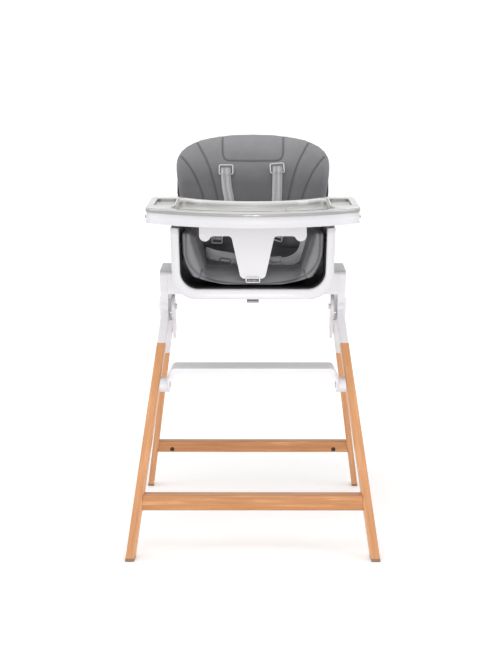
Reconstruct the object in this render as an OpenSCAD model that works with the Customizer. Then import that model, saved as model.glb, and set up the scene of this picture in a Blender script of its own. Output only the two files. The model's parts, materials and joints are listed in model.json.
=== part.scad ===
// Baby high chair: splayed wooden legs that fold at a white hub, a padded reclining seat
// that lifts off its carrier, a sliding tray with a crotch post, and a swing-up footrest.
// +Z is up and the child faces -Y. Left is -X, as seen from in front. The origin is on the
// floor, midway between the four feet.

/* [Legs] */
// Height of the folding pivot above the floor
pivot_h = 553; // [548:1:558]
// Depth over the front and rear feet
foot_depth = 590; // [580:2:600]
// Width over the outer faces of the front feet
front_foot_w = 600; // [596:1:604]
// Width over the outer faces of the rear feet
rear_foot_w = 578; // [575:1:580]
// Thickness of a front leg, side to side
front_leg_w = 21.5; // [20:0.5:23]
// Depth of a front leg, front to back
front_leg_d = 34; // [30:1:36]
// Thickness of a rear leg, side to side
rear_leg_w = 16; // [14:0.5:17]
// Depth of a rear leg, front to back
rear_leg_d = 30; // [26:1:32]
// Height of the plastic foot caps
foot_cap_h = 7; // [5:1:9]

/* [Stretchers] */
// Height of the front stretcher's centre
front_bar_z = 124; // [118:1:130]
// Height of the rear stretcher's centre
rear_bar_z = 129; // [122:1:135]

/* [Footrest] */
// Height of the footrest's tread
tread_z = 431; // [428:1:434]
// Depth of the tread, front to back
tread_d = 67; // [60:1:72]

/* [Seat] */
// Width over the outside of the seat hoop
hoop_w = 378; // [374:1:380]
// Depth of the seat hoop, front to back
hoop_d = 30; // [24:1:34]
// Height of the armrests' flat tops
arm_z = 775; // [773:1:776]
// Lean of the backrest from upright
back_tilt = 22; // [20:1:23]
// Length of the backrest above its hinge
back_len = 297; // [285:1:300]
// Width of the backrest at the shoulders
back_w = 392; // [380:2:394]

/* [Tray] */
// Width of the tray
tray_w = 495; // [485:1:500]
// Height of the tray's lower edge
tray_z = 781; // [781:0.5:782]
// Height of the tray's white side wall
tray_h = 30; // [28:0.5:32]
// Depth of the food well below the cover's rim
well_depth = 15; // [10:1:15]

/* [Hidden] */
$fn = 64;

white = "whitesmoke";
wood = "burlywood";
far = 800;                 // past every face of the chair
fold_gap = 2;              // between the front and rear legs when folded
fit = 0.05;                // running clearance round a pin, on the radius
clear = 0.3;               // between parts of different bodies
wall = 4;

// Leg angles: the faces that meet when folded run past the pivot line
half_depth = foot_depth / 2;
reach = norm([half_depth, pivot_h]);
front_lean = atan(half_depth / pivot_h) - asin(front_leg_d / reach);
rear_lean = atan(half_depth / pivot_h) - asin((rear_leg_d + fold_gap) / reach);
front_len = (pivot_h + front_leg_d * sin(front_lean)) / cos(front_lean);
rear_len = (pivot_h + (rear_leg_d + fold_gap) * sin(rear_lean)) / cos(rear_lean);
front_splay = 7.2;
rear_splay = 7.5;
front_wood_top = -100;     // along the leg from the pivot
rear_wood_top = -148;
tenon_len = 40;

// Layers of the hub, out from the middle of the chair
bolt_head_x = 186.5;
ear_x = 191.8;
tongue_x = 199.6;
shell_x = 206.6;
hub_out_x = 224.8;
hub_r = 38;
bolt_r = 5;
hub_top = 651;             // flat top of the shells and of the carrier
hub_front = -60;
hub_back = 72;

// Carrier under the seat
bracket_in_x = 164;
bracket_bottom = 594;
platform_top = 633.7;
platform_bottom = 600;
lug = [80, 60, 21];        // block under the seat that drops into the carrier
lug_y = -20;
lever_pin_y = -34;
lever_pin_z = 612;
lever_w = 29;

// Footrest
boss_down = 200;           // along the front leg from the main pivot
boss_y = -19;              // across the leg, ahead of the pivot line
boss_r = 18;
cheek_x = 206.3;           // outer face of a cheek
cheek_t = 5.3;
tread_front = -150;
tread_half = 198;
tread_r = 14;
pivot_drop = [
    boss_y * cos(front_lean) - boss_down * sin(front_lean),
    pivot_h - boss_y * sin(front_lean) - boss_down * cos(front_lean),
];

// Seat hoop, a U in front view
hoop_front = -215;
hoop_back = hoop_front + hoop_d;
hoop_bottom = 610;
hoop_in_bottom = 634;
hoop_r = 58;
hoop_in_r = 42;
hoop_draw = 2.5;           // how much a side leans in towards the bottom
hoop_side = 19;            // width of a side, seen from in front
shell_top = 748;
shell_back = 80;
arm_back = 118;
ridge_h = 10;
ridge_x = [175, 184];

// Backrest, in its own frame at the hinge
hinge_y = 90;
hinge_z = 672;
pin_r = 5;
pad_t = 28;
pad_back = -2;
back_low = 142;            // half width below the armrests
slot_z = 214;              // shoulder slots, up the back from the hinge
slot_x = 68;
strap_w = 25;
strap_t = 1.8;

// Tray
tray_half = tray_w / 2;
tray_front = -255;
tray_back = 62;
tray_end_y = -165;         // where the curved front meets an end
belly_y = -40;
belly_x = 180;
tray_skin = 3;
tray_top = tray_z + tray_h;
deck_top = tray_z + 19;    // floor inside the white tray
cover_top = tray_top + 7;
cover_t = 2;
rib_w = 4;
button = [14, 5];
button_proud = 4;
button_y = -136;
button_z = 793;
cup = [147, -95];
cup_r = 50;

// ---- helpers ----

// Draws on the right, or mirrored to the left when s is -1
module on_side(s) mirror([s < 0 ? 1 : 0, 0, 0]) children();

// Extrudes a side view, drawn as [y, z], from x1 to x2
module across(x1, x2) translate([x1, 0, 0]) rotate([90, 0, 90]) linear_extrude(x2 - x1) children();

// Extrudes a front view, drawn as [x, z], from y1 to y2
module deep(y1, y2) translate([0, y2, 0]) rotate([90, 0, 0]) linear_extrude(y2 - y1) children();

module pin_x(r, x1, x2, y, z) translate([x1, y, z]) rotate([0, 90, 0]) cylinder(r = r, h = x2 - x1);

module rounded_rect(w, h, r) {
    square([w - 2 * r, h], center = true);
    square([w, h - 2 * r], center = true);
    for (x = [-1, 1], y = [-1, 1]) translate([x * (w / 2 - r), y * (h / 2 - r)]) circle(r);
}

module above(z) translate([-far, -far, z]) cube([2 * far, 2 * far, 2 * far]);

// Frame of the right front leg before its splay: the origin is the pivot, Z runs up the leg
module front_plane() translate([0, 0, pivot_h]) rotate([-front_lean, 0, 0]) children();
module rear_plane() translate([0, 0, pivot_h]) rotate([rear_lean, 0, 0]) children();

module front_leg_frame()
    front_plane() translate([front_foot_w / 2, 0, -front_len]) rotate([0, -front_splay, 0]) children();
module rear_leg_frame()
    rear_plane() translate([rear_foot_w / 2, 0, -rear_len]) rotate([0, -rear_splay, 0]) children();

module front_bar(r = 4) front_leg_frame() translate([-front_leg_w / 2, -front_leg_d / 2, -60])
    linear_extrude(front_len + 60) rounded_rect(front_leg_w, front_leg_d, r);
module rear_bar(r = 4) rear_leg_frame() translate([-rear_leg_w / 2, fold_gap + rear_leg_d / 2, -60])
    linear_extrude(rear_len + 60) rounded_rect(rear_leg_w, rear_leg_d, r);

// Everything outside a leg's inner face, which trims what butts against it
module front_outside() front_leg_frame()
    translate([-front_leg_w, -far / 2, -far / 2]) cube([far, far, 2 * far]);
module rear_outside() rear_leg_frame()
    translate([-rear_leg_w, -far / 2, -far / 2]) cube([far, far, 2 * far]);

module front_tenon(gap = 0) intersection() {
    front_leg_frame() translate([-front_leg_w / 2, -front_leg_d / 2, 0])
        linear_extrude(front_len) square([12 + 2 * gap, 22 + 2 * gap], center = true);
    front_plane() translate([0, -far, front_wood_top]) cube([far, 2 * far, tenon_len + gap]);
}
module rear_tenon(gap = 0) intersection() {
    rear_leg_frame() translate([-rear_leg_w / 2, fold_gap + rear_leg_d / 2, 0])
        linear_extrude(rear_len) square([8 + 2 * gap, 18 + 2 * gap], center = true);
    rear_plane() translate([0, -far, rear_wood_top]) cube([far, 2 * far, tenon_len + gap]);
}

// ---- front frame ----

module front_leg(s) color(wood) on_side(s) {
    intersection() {
        front_bar();
        above(foot_cap_h);
        front_plane() translate([-far, -far, front_wood_top - 2 * far]) cube(2 * far);
    }
    front_tenon();
}

module front_foot(s) color("dimgray") on_side(s) intersection() {
    front_bar(3);
    difference() {
        above(0);
        above(foot_cap_h);
    }
}

module front_stretcher() color(wood) difference() {
    translate([-half_depth, -221, front_bar_z]) rotate([90, 0, 90])
        linear_extrude(2 * half_depth) rounded_rect(27, 38, 3);
    for (s = [-1, 1]) on_side(s) front_outside();
}

// Flat top of the hub, with a round corner at each end
module hub_crown() {
    corner = 10;
    translate([hub_front + corner, hub_top - 2 * corner])
        square([hub_back - hub_front - 2 * corner, 2 * corner]);
    for (y = [hub_front + corner, hub_back - corner]) translate([y, hub_top - corner]) circle(corner);
}

// Side view of the hub: a fan that carries the seat, over a round pivot boss
module hub_outline() {
    polygon([
        [hub_front, hub_top - 10], [hub_front, bracket_bottom + 30], [-hub_r * 0.9, pivot_h + hub_r * 0.35],
        [hub_r, pivot_h], [hub_back, hub_top - 10],
    ]);
    translate([0, pivot_h]) circle(hub_r);
    hub_crown();
}

// Side view of the bracket, which stops above the legs' ears
module bracket_outline() {
    polygon([
        [hub_front, hub_top - 10], [hub_front, bracket_bottom], [54, bracket_bottom],
        [hub_back, hub_top - 10],
    ]);
    hub_crown();
}

module front_shell(s) color(white) on_side(s) difference() {
    union() {
        across(shell_x, hub_out_x) hub_outline();
        intersection() {
            front_bar();
            front_plane() translate([0, -far, front_wood_top]) cube([far, 2 * far, 112]);
        }
    }
    translate([0, -far, 0]) cube([shell_x, 2 * far, far]);
    front_tenon(fit);
    pin_x(bolt_r, shell_x - 1, hub_out_x - 3, 0, pivot_h);
    pin_x(hub_r, hub_out_x, hub_out_x + 20, 0, pivot_h);
}

module pivot_cover(s) color(white) on_side(s) {
    rise = 6.7;
    base = hub_r - 0.5;
    dome = (base * base + rise * rise) / (2 * rise);
    translate([hub_out_x, 0, pivot_h]) rotate([0, 90, 0]) rotate_extrude() intersection() {
        translate([0, rise - dome]) circle(dome, $fn = 360);
        square([base, rise + 1]);
    }
}

module pivot_bolts() color("silver") for (s = [-1, 1]) on_side(s) {
    pin_x(bolt_r, ear_x - 0.2, hub_out_x - 3, 0, pivot_h);
    pin_x(7, bolt_head_x, ear_x - 0.2, 0, pivot_h);
}

module carrier_bracket(s) color(white) on_side(s) difference() {
    union() {
        across(bracket_in_x, shell_x - 0.2) bracket_outline();
        across(tongue_x, shell_x - 0.2) {
            translate([-14, pivot_h]) square([28, bracket_bottom - pivot_h + 5]);
            translate([0, pivot_h]) circle(14);
        }
    }
    translate([bracket_in_x + wall, hub_front + wall, bracket_bottom - 1])
        cube([tongue_x - bracket_in_x - wall, 50 - hub_front - wall, hub_top - bracket_bottom - wall + 1]);
    pin_x(bolt_r, tongue_x - 1, shell_x + 1, 0, pivot_h);
}

module carrier_platform() color(white) {
    w = 2 * bracket_in_x;
    d = hub_back - hub_front - 4;
    difference() {
        translate([-w / 2, hub_front + 2, platform_bottom]) cube([w, d, platform_top - platform_bottom]);
        translate([-w / 2 + wall, hub_front + 2 + wall, platform_bottom - 1])
            cube([w - 2 * wall, d - 2 * wall, platform_top - platform_bottom - wall + 1]);
        translate([-lug[0] / 2 - 1, lug_y - 1, platform_top - 10]) cube([lug[0] + 2, lug[1] + 2, 20]);
    }
    // Two ears inside that hold the lever's pin
    for (s = [-1, 1]) on_side(s) difference() {
        translate([lever_w / 2 + 2, lever_pin_y - 8, lever_pin_z - 8])
            cube([wall, 16, platform_top - lever_pin_z + 6]);
        pin_x(3, 0, far, lever_pin_y, lever_pin_z);
    }
}

module footrest_boss(s) color(white) on_side(s) difference() {
    pin_x(boss_r, shell_x, 250, pivot_drop[0], pivot_drop[1]);
    front_outside();
    pin_x(bolt_r, shell_x - 1, 222, pivot_drop[0], pivot_drop[1]);
}

module footrest_pins() color("silver") for (s = [-1, 1]) on_side(s) {
    pin_x(bolt_r, cheek_x - cheek_t - 0.2, 222, pivot_drop[0], pivot_drop[1]);
    pin_x(8, cheek_x - cheek_t - 3, cheek_x - cheek_t - 0.2, pivot_drop[0], pivot_drop[1]);
}

module lever_pin() color("silver") pin_x(3, -lever_w / 2 - 6, lever_w / 2 + 6, lever_pin_y, lever_pin_z);

module release_lever() color("gray") {
    half = lever_w / 2;
    difference() {
        union() {
            pin_x(7, -half, half, lever_pin_y, lever_pin_z);
            across(-half, half) polygon([
                [lever_pin_y - 6, lever_pin_z + 2], [lever_pin_y + 6, lever_pin_z + 2],
                [lever_pin_y - 4, 580], [lever_pin_y - 5, 573.5], [-62, 573.5], [-64, 575.5],
                [-64, 578.5], [-62, 580.5], [lever_pin_y - 10, 580.5],
            ]);
        }
        pin_x(3 + fit, -far, far, lever_pin_y, lever_pin_z);
    }
}

// ---- rear frame ----

module rear_leg(s) color(wood) on_side(s) {
    intersection() {
        rear_bar();
        above(foot_cap_h);
        rear_plane() translate([-far, -far, rear_wood_top - 2 * far]) cube(2 * far);
    }
    rear_tenon();
}

module rear_foot(s) color("dimgray") on_side(s) intersection() {
    rear_bar(3);
    difference() {
        above(0);
        above(foot_cap_h);
    }
}

module rear_socket(s) color(white) on_side(s) difference() {
    ear_r = 30;
    arm_top = -44;
    union() {
        rear_plane() {
            across(ear_x, tongue_x - 0.2) {
                circle(ear_r);
                translate([-12, arm_top - 46]) square([fold_gap + rear_leg_d + 10, 46 - arm_top]);
            }
        }
        intersection() {
            rear_bar();
            rear_plane() translate([0, -far, rear_wood_top])
                cube([far, 2 * far, arm_top - rear_wood_top]);
        }
    }
    rear_tenon(fit);
    pin_x(bolt_r + fit, ear_x - 1, tongue_x + 1, 0, pivot_h);
}

module rear_stretcher() color(wood) difference() {
    translate([-half_depth, 217, rear_bar_z]) rotate([90, 0, 90])
        linear_extrude(2 * half_depth) rounded_rect(22, 31, 3);
    for (s = [-1, 1]) on_side(s) {
        rear_outside();
        translate([216, 205, rear_bar_z - 7]) rotate([-90, 0, 0]) cylinder(r = 6, h = 8);
    }
}

module stretcher_bolts() color("dimgray") for (s = [-1, 1]) on_side(s)
    translate([216, 209, rear_bar_z - 7]) rotate([-90, 0, 0]) cylinder(r = 6, h = 4);

// ---- footrest ----

module tread_outline(inset) {
    top = tread_z - inset;
    half = tread_half - inset;
    cheek = cheek_x - inset;
    corner = tread_r - inset;
    polygon([
        [-cheek, 350], [cheek, 350], [cheek, tread_z - 28], [half, top - corner],
        [half - corner, top], [corner - half, top], [-half, top - corner], [-cheek, tread_z - 28],
    ]);
    for (s = [-1, 1]) translate([s * (half - corner), top - corner]) circle(corner);
}

module footrest() color(white) difference() {
    union() {
        intersection() {
            deep(tread_front, tread_front + tread_d) difference() {
                tread_outline(0);
                tread_outline(cheek_t);
            }
            across(-far, far) {
                translate([tread_front, tread_z - 13]) square([tread_d, 14]);
                polygon([
                    [tread_front, tread_z - 13], [tread_front + tread_d, tread_z - 13],
                    [pivot_drop[0] + boss_r, pivot_drop[1]], [pivot_drop[0] - boss_r, pivot_drop[1]],
                ]);
                translate(pivot_drop) circle(boss_r);
            }
        }
        translate([-184, tread_front, tread_z - 13]) cube([368, cheek_t, 10]);
        for (i = [1:4]) translate([-180, tread_front + 12 * i, tread_z - 0.5]) cube([360, 3, 1.3]);
    }
    for (s = [-1, 1]) on_side(s) pin_x(bolt_r + fit, 190, 220, pivot_drop[0], pivot_drop[1]);
}

// ---- seat ----

module u_outline(half, bottom, r, top) {
    foot = half - hoop_draw;
    polygon([[-half, top], [half, top], [foot, bottom + r], [-foot, bottom + r]]);
    translate([-(foot - r), bottom]) square([2 * (foot - r), 2 * r]);
    for (s = [-1, 1]) translate([s * (foot - r), bottom + r]) circle(r);
}

// The space inside the hoop, open at the top, moved in by inset and cut off at top
module hoop_hole(inset, top) intersection() {
    u_outline(hoop_w / 2 - hoop_side - inset, hoop_in_bottom + inset, hoop_in_r - inset, arm_z + 1);
    translate([-far, 0]) square([2 * far, top]);
}

module seat_hoop() color(white) difference() {
    deep(hoop_front, hoop_back) u_outline(hoop_w / 2, hoop_bottom, hoop_r, arm_z);
    deep(hoop_front - 1, hoop_back + 1) hoop_hole(0, arm_z + 1);
}

module armrest(s) color(white) on_side(s) {
    inner = hoop_w / 2 - hoop_side + 1;
    across(inner, hoop_w / 2 - 1) {
        translate([hoop_back, shell_top]) square([arm_back - hoop_back - 12, arm_z - shell_top]);
        translate([arm_back - 24, shell_top + 12]) square([24, arm_z - shell_top - 24]);
        for (z = [shell_top + 12, arm_z - 12]) translate([arm_back - 12, z]) circle(12);
    }
    translate([ridge_x[0], hoop_back + 5, arm_z - 1])
        cube([ridge_x[1] - ridge_x[0], arm_back - hoop_back - 13, ridge_h + 1]);
}

module seat_shell() color("dimgray") {
    inner = hoop_w / 2 - hoop_side;
    difference() {
        deep(hoop_front + 10, shell_back) difference() {
            hoop_hole(0, shell_top - wall);
            hoop_hole(wall, shell_top);
        }
        for (s = [-1, 1]) on_side(s) pin_x(pin_r, inner - 20, inner + 5, hinge_y, hinge_z);
    }
    for (s = [-1, 1]) on_side(s) {
        // Flange under an armrest
        translate([inner - wall, hoop_back, shell_top - wall])
            cube([hoop_side + wall - 2, shell_back - hoop_back, wall]);
        // Ear that holds a hinge pin
        difference() {
            across(inner - hoop_draw - wall, inner - hoop_draw) {
                translate([hinge_y, hinge_z]) circle(18);
                translate([shell_back - 20, hinge_z - 18]) square([hinge_y - shell_back + 20, 36]);
            }
            pin_x(pin_r, inner - 20, inner + 5, hinge_y, hinge_z);
        }
    }
    translate([-lug[0] / 2, lug_y, hoop_in_bottom - lug[2]]) cube([lug[0], lug[1], lug[2] + 1]);
}

module recline_pins() color("silver") for (s = [-1, 1]) on_side(s) {
    inner = hoop_w / 2 - hoop_side - hoop_draw;
    pin_x(pin_r, back_low + 2, inner, hinge_y, hinge_z);
    pin_x(8, inner, inner + 3, hinge_y, hinge_z);
}

// Side view of the cushion: a raised roll in front, then the hollow that the child sits in
module cushion_outline() {
    polygon([
        [-201, 638.5], [-203, 644], [-192, 652], [-165, 666], [-140, 671], [-112, 671],
        [-80, 662], [-45, 656], [20, 655], [52, 660], [52, 638.5],
    ]);
}

// Front view of a wing, from its top edge down the outside, then back up the inside
module wing_outline() {
    polygon([
        [161, 768], [161, 716], [157, 698], [149, 679], [139, 661], [130, 648], [120, 638.5],
        [90, 638.5], [90, 654], [104, 658], [114, 671], [122, 691], [130, 716], [136, 742], [140, 768],
    ]);
}

module seat_pad() color("gray") {
    half = 110;
    across(-half, half) cushion_outline();
    for (s = [-1, 1]) on_side(s) deep(-198, 52) wing_outline();
}

module crotch_strap() color("silver") across(-strap_w / 2, strap_w / 2) {
    path = [[-200, 650], [-190, 656], [-165, 669], [-140, 674], [-112, 674], [-95, 675], [-80, 679]];
    last = len(path) - 1;
    polygon([for (p = path) p, for (i = [last:-1:0]) path[i] - [0, strap_t]]);
}

module crotch_ring() color(white) translate([0, -208, 648]) rotate([52, 0, 0]) linear_extrude(3)
    difference() {
        rounded_rect(32, 15, 3);
        rounded_rect(26, 8, 1);
    }

module harness_buckle() color("gray") translate([0, -57, 686]) rotate([30, 0, 0])
    linear_extrude(14, center = true) rounded_rect(48, 44, 10);

// Frame of a lap strap: X runs along it, out to the side of the seat
module lap_frame(s) on_side(s) translate([26, -56, 677]) rotate([0, -6, 20]) children();

module lap_strap(s) color("silver") lap_frame(s) cube([92, strap_w, strap_t]);

module lap_slider(s) color(white) lap_frame(s)
    translate([50, strap_w / 2, strap_t + 0.2]) linear_extrude(3) difference() {
        rounded_rect(24, 32, 3);
        rounded_rect(14, 26, 1);
    }

// ---- backrest ----

module back_frame() translate([0, hinge_y, hinge_z]) rotate([-back_tilt, 0, 0]) children();

// Front view of the backrest above its hinge
module back_outline(inset, low_half) {
    crown = 558;
    r = 46;
    offset(r = r - inset) offset(delta = -r) intersection() {
        translate([0, back_len - crown]) circle(crown, $fn = 180);
        translate([-back_w / 2, 122]) square([back_w, back_len]);
    }
    translate([-low_half, 6]) square([2 * low_half, 170]);
}

module shoulder_slots(w, h) for (s = [-1, 1]) translate([s * slot_x, slot_z]) square([w, h], center = true);

module back_shell() color("dimgray") back_frame() {
    deep(0, wall) difference() {
        back_outline(8, back_low);
        shoulder_slots(34, 9);
    }
    for (s = [-1, 1]) on_side(s) difference() {
        across(back_low, back_low + 16) {
            circle(13);
            translate([0, -13]) square([13, 26]);
            translate([0, 0]) square([wall, 60]);
        }
        pin_x(pin_r + fit, 100, 200, 0, 0);
    }
    translate([-back_low, 0, -10]) cube([2 * back_low, wall, 30]);
}

module back_pad() color("gray") back_frame() deep(-pad_t + pad_back, pad_back + 1.7) difference() {
    back_outline(0, 140);
    shoulder_slots(32, 7);
}

module back_cover() color("dimgray") back_frame() deep(wall + 0.3, wall + 10) difference() {
    back_outline(4, 138);
    shoulder_slots(34, 12);
}

module shoulder_strap(s) color("silver") back_frame() on_side(s)
    across(slot_x - strap_w / 2, slot_x + strap_w / 2) {
        translate([-pad_t - 6, slot_z - 1]) square([pad_t + 26, strap_t]);
        translate([-pad_t - 6, 70]) square([strap_t, slot_z - 70]);
    }

module shoulder_ring(s) color(white) back_frame() on_side(s)
    deep(-pad_t - 9.5, -pad_t - 6.2) translate([slot_x, slot_z - 14]) difference() {
        rounded_rect(34, 22, 3);
        rounded_rect(27, 14, 1);
    }

// ---- tray ----

// Plan view: bowed front, round ends and a hollow for the child's belly
module tray_plan(grow = 0) {
    bow = (tray_half * tray_half + pow(tray_end_y - tray_front, 2)) / (2 * (tray_end_y - tray_front));
    belly = (belly_x * belly_x + pow(tray_back - belly_y, 2)) / (2 * (tray_back - belly_y));
    offset(r = 26 + grow, $fn = 48) offset(r = -46, $fn = 48) offset(delta = 20) difference() {
        intersection() {
            translate([0, tray_front + bow]) circle(bow, $fn = 160);
            translate([-tray_half, tray_front]) square([tray_w, tray_back - tray_front]);
        }
        translate([0, belly_y + belly]) circle(belly, $fn = 96);
    }
}

module tray_base() color(white) difference() {
    union() {
        translate([0, 0, tray_z]) linear_extrude(tray_h) difference() {
            tray_plan();
            tray_plan(-tray_skin);
        }
        translate([0, 0, deck_top - tray_skin]) linear_extrude(tray_skin) tray_plan(-tray_skin + 0.1);
        // Ribs that run along each side of an armrest's ridge
        for (s = [-1, 1], x = [ridge_x[0] - 0.5 - rib_w, ridge_x[1] + 0.5]) on_side(s)
            translate([x, -190, arm_z + clear]) cube([rib_w, 235, deck_top - arm_z - clear - 1]);
    }
    for (s = [-1, 1]) on_side(s) {
        translate([ridge_x[0] - 0.5, -185, tray_z - 10])
            cube([ridge_x[1] - ridge_x[0] + 1, far, arm_z + ridge_h + 11 - tray_z]);
        across(tray_half - 20, tray_half + 20) translate([button_y, button_z])
            rounded_rect(button[0] + 0.6, button[1] + 0.6, 2);
    }
}

module post_outline() {
    offset(r = 12) offset(delta = -12) offset(r = -9) offset(delta = 9) {
        translate([-123, 757]) square([246, deck_top - tray_skin - 757]);
        for (s = [-1, 1]) translate([s * 110, 758]) circle(13);
        polygon([[-50, 760], [-28, 658.5], [28, 658.5], [50, 760]]);
    }
}

module crotch_post() color(white) deep(-210, -190) intersection() {
    post_outline();
    translate([-far, 0]) square([2 * far, deck_top - tray_skin]);
}

module tray_button(s) color("gray") on_side(s) {
    across(tray_half - 10, tray_half + button_proud) translate([button_y, button_z])
        rounded_rect(button[0], button[1], 2);
    across(tray_half - 12, tray_half - 10) translate([button_y, button_z])
        rounded_rect(button[0] + 6, button[1] + 2, 2);
}

// Wells in the cover: the main one and a shallow pocket at each end
module well_plan(grow) offset(r = 10 + grow) offset(delta = -10) intersection() {
    tray_plan(-16);
    translate([-178, -far]) square([356, 2 * far]);
}
module pocket_plan(grow) offset(r = 8 + grow) offset(delta = -8) intersection() {
    tray_plan(-14);
    translate([186, -120]) square([60, 160]);
}

module tray_cover() color("lightgray") {
    lip = 11;
    well_z = cover_top - well_depth;
    pocket_z = cover_top - 8;
    difference() {
        union() {
            translate([0, 0, cover_top - cover_t]) linear_extrude(cover_t) tray_plan(2.3);
            translate([0, 0, cover_top - lip]) linear_extrude(lip) difference() {
                tray_plan(2.3);
                tray_plan(clear);
            }
            translate([0, 0, well_z - cover_t]) linear_extrude(well_depth) well_plan(cover_t);
            for (s = [-1, 1]) on_side(s)
                translate([0, 0, pocket_z - cover_t]) linear_extrude(8) pocket_plan(cover_t);
        }
        translate([0, 0, well_z]) linear_extrude(far) well_plan(0);
        for (s = [-1, 1]) on_side(s) translate([0, 0, pocket_z]) linear_extrude(far) pocket_plan(0);
    }
    // Ring that a cup stands in
    translate([cup[0] - 22, cup[1], well_z - 0.5]) rotate_extrude() translate([cup_r - 3, 0]) square([3, 2.5]);
}

front_leg(-1);  // front_leg_left
front_leg(1);  // front_leg_right
front_foot(-1);  // front_foot_left
front_foot(1);  // front_foot_right
front_stretcher();
front_shell(-1);  // front_shell_left
front_shell(1);  // front_shell_right
pivot_cover(-1);  // pivot_cover_left
pivot_cover(1);  // pivot_cover_right
pivot_bolts();
carrier_bracket(-1);  // carrier_bracket_left
carrier_bracket(1);  // carrier_bracket_right
carrier_platform();
footrest_boss(-1);  // footrest_boss_left
footrest_boss(1);  // footrest_boss_right
footrest_pins();
lever_pin();
release_lever();
rear_leg(-1);  // rear_leg_left
rear_leg(1);  // rear_leg_right
rear_foot(-1);  // rear_foot_left
rear_foot(1);  // rear_foot_right
rear_socket(-1);  // rear_socket_left
rear_socket(1);  // rear_socket_right
rear_stretcher();
stretcher_bolts();
footrest();
seat_hoop();
armrest(-1);  // armrest_left
armrest(1);  // armrest_right
seat_shell();
seat_pad();
recline_pins();
crotch_strap();
crotch_ring();
harness_buckle();
lap_strap(-1);  // lap_strap_left
lap_strap(1);  // lap_strap_right
lap_slider(-1);  // lap_slider_left
lap_slider(1);  // lap_slider_right
back_shell();
back_pad();
back_cover();
shoulder_strap(-1);  // shoulder_strap_left
shoulder_strap(1);  // shoulder_strap_right
shoulder_ring(-1);  // shoulder_ring_left
shoulder_ring(1);  // shoulder_ring_right
tray_base();
crotch_post();
tray_button(-1);  // tray_button_left
tray_button(1);  // tray_button_right
tray_cover();
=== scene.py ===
# %% [markdown]
# # A baby high chair, finished around its CAD frame
# The CAD model fixes every size and every joint. This file only adds what the eye and the
# hand notice: rounded mouldings, beech grain, stitched pads, webbing and a grey tray cover.
# Each step says what the real piece is, how it could be made, and why it is made this way.

import json
import math

import bmesh
import bpy
import numpy as np
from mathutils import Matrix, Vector

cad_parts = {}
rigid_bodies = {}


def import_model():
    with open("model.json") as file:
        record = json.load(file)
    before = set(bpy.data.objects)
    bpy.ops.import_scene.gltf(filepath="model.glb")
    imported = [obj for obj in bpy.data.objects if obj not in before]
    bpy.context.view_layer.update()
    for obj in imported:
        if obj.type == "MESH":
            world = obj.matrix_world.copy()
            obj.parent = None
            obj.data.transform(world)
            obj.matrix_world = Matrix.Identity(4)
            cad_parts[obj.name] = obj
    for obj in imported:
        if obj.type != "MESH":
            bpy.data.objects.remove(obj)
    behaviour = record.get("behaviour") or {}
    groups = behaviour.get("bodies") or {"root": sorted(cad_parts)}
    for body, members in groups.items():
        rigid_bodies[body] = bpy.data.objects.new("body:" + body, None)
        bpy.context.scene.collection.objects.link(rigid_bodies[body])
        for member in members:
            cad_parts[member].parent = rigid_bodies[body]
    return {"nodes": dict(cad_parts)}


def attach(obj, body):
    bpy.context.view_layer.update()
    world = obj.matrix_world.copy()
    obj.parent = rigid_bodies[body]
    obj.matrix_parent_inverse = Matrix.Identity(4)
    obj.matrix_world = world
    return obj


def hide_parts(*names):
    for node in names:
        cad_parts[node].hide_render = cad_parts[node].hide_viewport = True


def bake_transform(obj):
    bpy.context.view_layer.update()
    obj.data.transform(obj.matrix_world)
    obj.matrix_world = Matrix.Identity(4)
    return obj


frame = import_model()
scene = bpy.context.scene
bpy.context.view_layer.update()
MM = 0.001

# %% [markdown]
# ## The view
# A long lens from a little above, square to the front of the chair. A long lens keeps the
# legs' splay true, where a short one would make the front feet look far apart.

# %% Camera
LENS = 74.13
CAMERA_AT = (0, -3.295, 1.194)
LOOK_DOWN = 12.01
LOOK_LEFT = 0.122
camera = bpy.data.objects.new("camera", bpy.data.cameras.new("camera"))
scene.collection.objects.link(camera)
camera.data.lens = LENS
camera.data.sensor_width = 36
camera.location = CAMERA_AT
camera.rotation_euler = (math.radians(90 - LOOK_DOWN), 0, math.radians(LOOK_LEFT))
scene.camera = camera
print("camera", tuple(camera.location))

# %% [markdown]
# ## The studio
# White goods on a white ground need a soft key from one side, or they look cut from paper.
# The world is the fill light, one large panel overhead in front is the key, and a panel
# on each side draws the long highlights that show a curved edge is glossy.

# %% Lights and floor
WORLD_FILL = 0.76


def area_light(name, at, aim, size, power):
    lamp = bpy.data.objects.new(name, bpy.data.lights.new(name, "AREA"))
    lamp.data.shape = "RECTANGLE"
    lamp.data.size, lamp.data.size_y = size
    lamp.data.energy = power
    lamp.location = at
    lamp.rotation_euler = (Vector(aim) - Vector(at)).to_track_quat("-Z", "Y").to_euler()
    scene.collection.objects.link(lamp)
    return lamp


world = bpy.data.worlds.new("studio")
world.use_nodes = True
scene.world = world
nodes, links = world.node_tree.nodes, world.node_tree.links
nodes.clear()
fill, backdrop = nodes.new("ShaderNodeBackground"), nodes.new("ShaderNodeBackground")
fill.inputs["Strength"].default_value = WORLD_FILL
backdrop.inputs["Strength"].default_value = 1.05
for background in (fill, backdrop):
    background.inputs["Color"].default_value = (1, 1, 1, 1)
seen, choose = nodes.new("ShaderNodeLightPath"), nodes.new("ShaderNodeMixShader")
links.new(seen.outputs["Is Camera Ray"], choose.inputs[0])
links.new(fill.outputs[0], choose.inputs[1])
links.new(backdrop.outputs[0], choose.inputs[2])
links.new(choose.outputs[0], nodes.new("ShaderNodeOutputWorld").inputs[0])
scene.view_settings.view_transform = "Standard"

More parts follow.
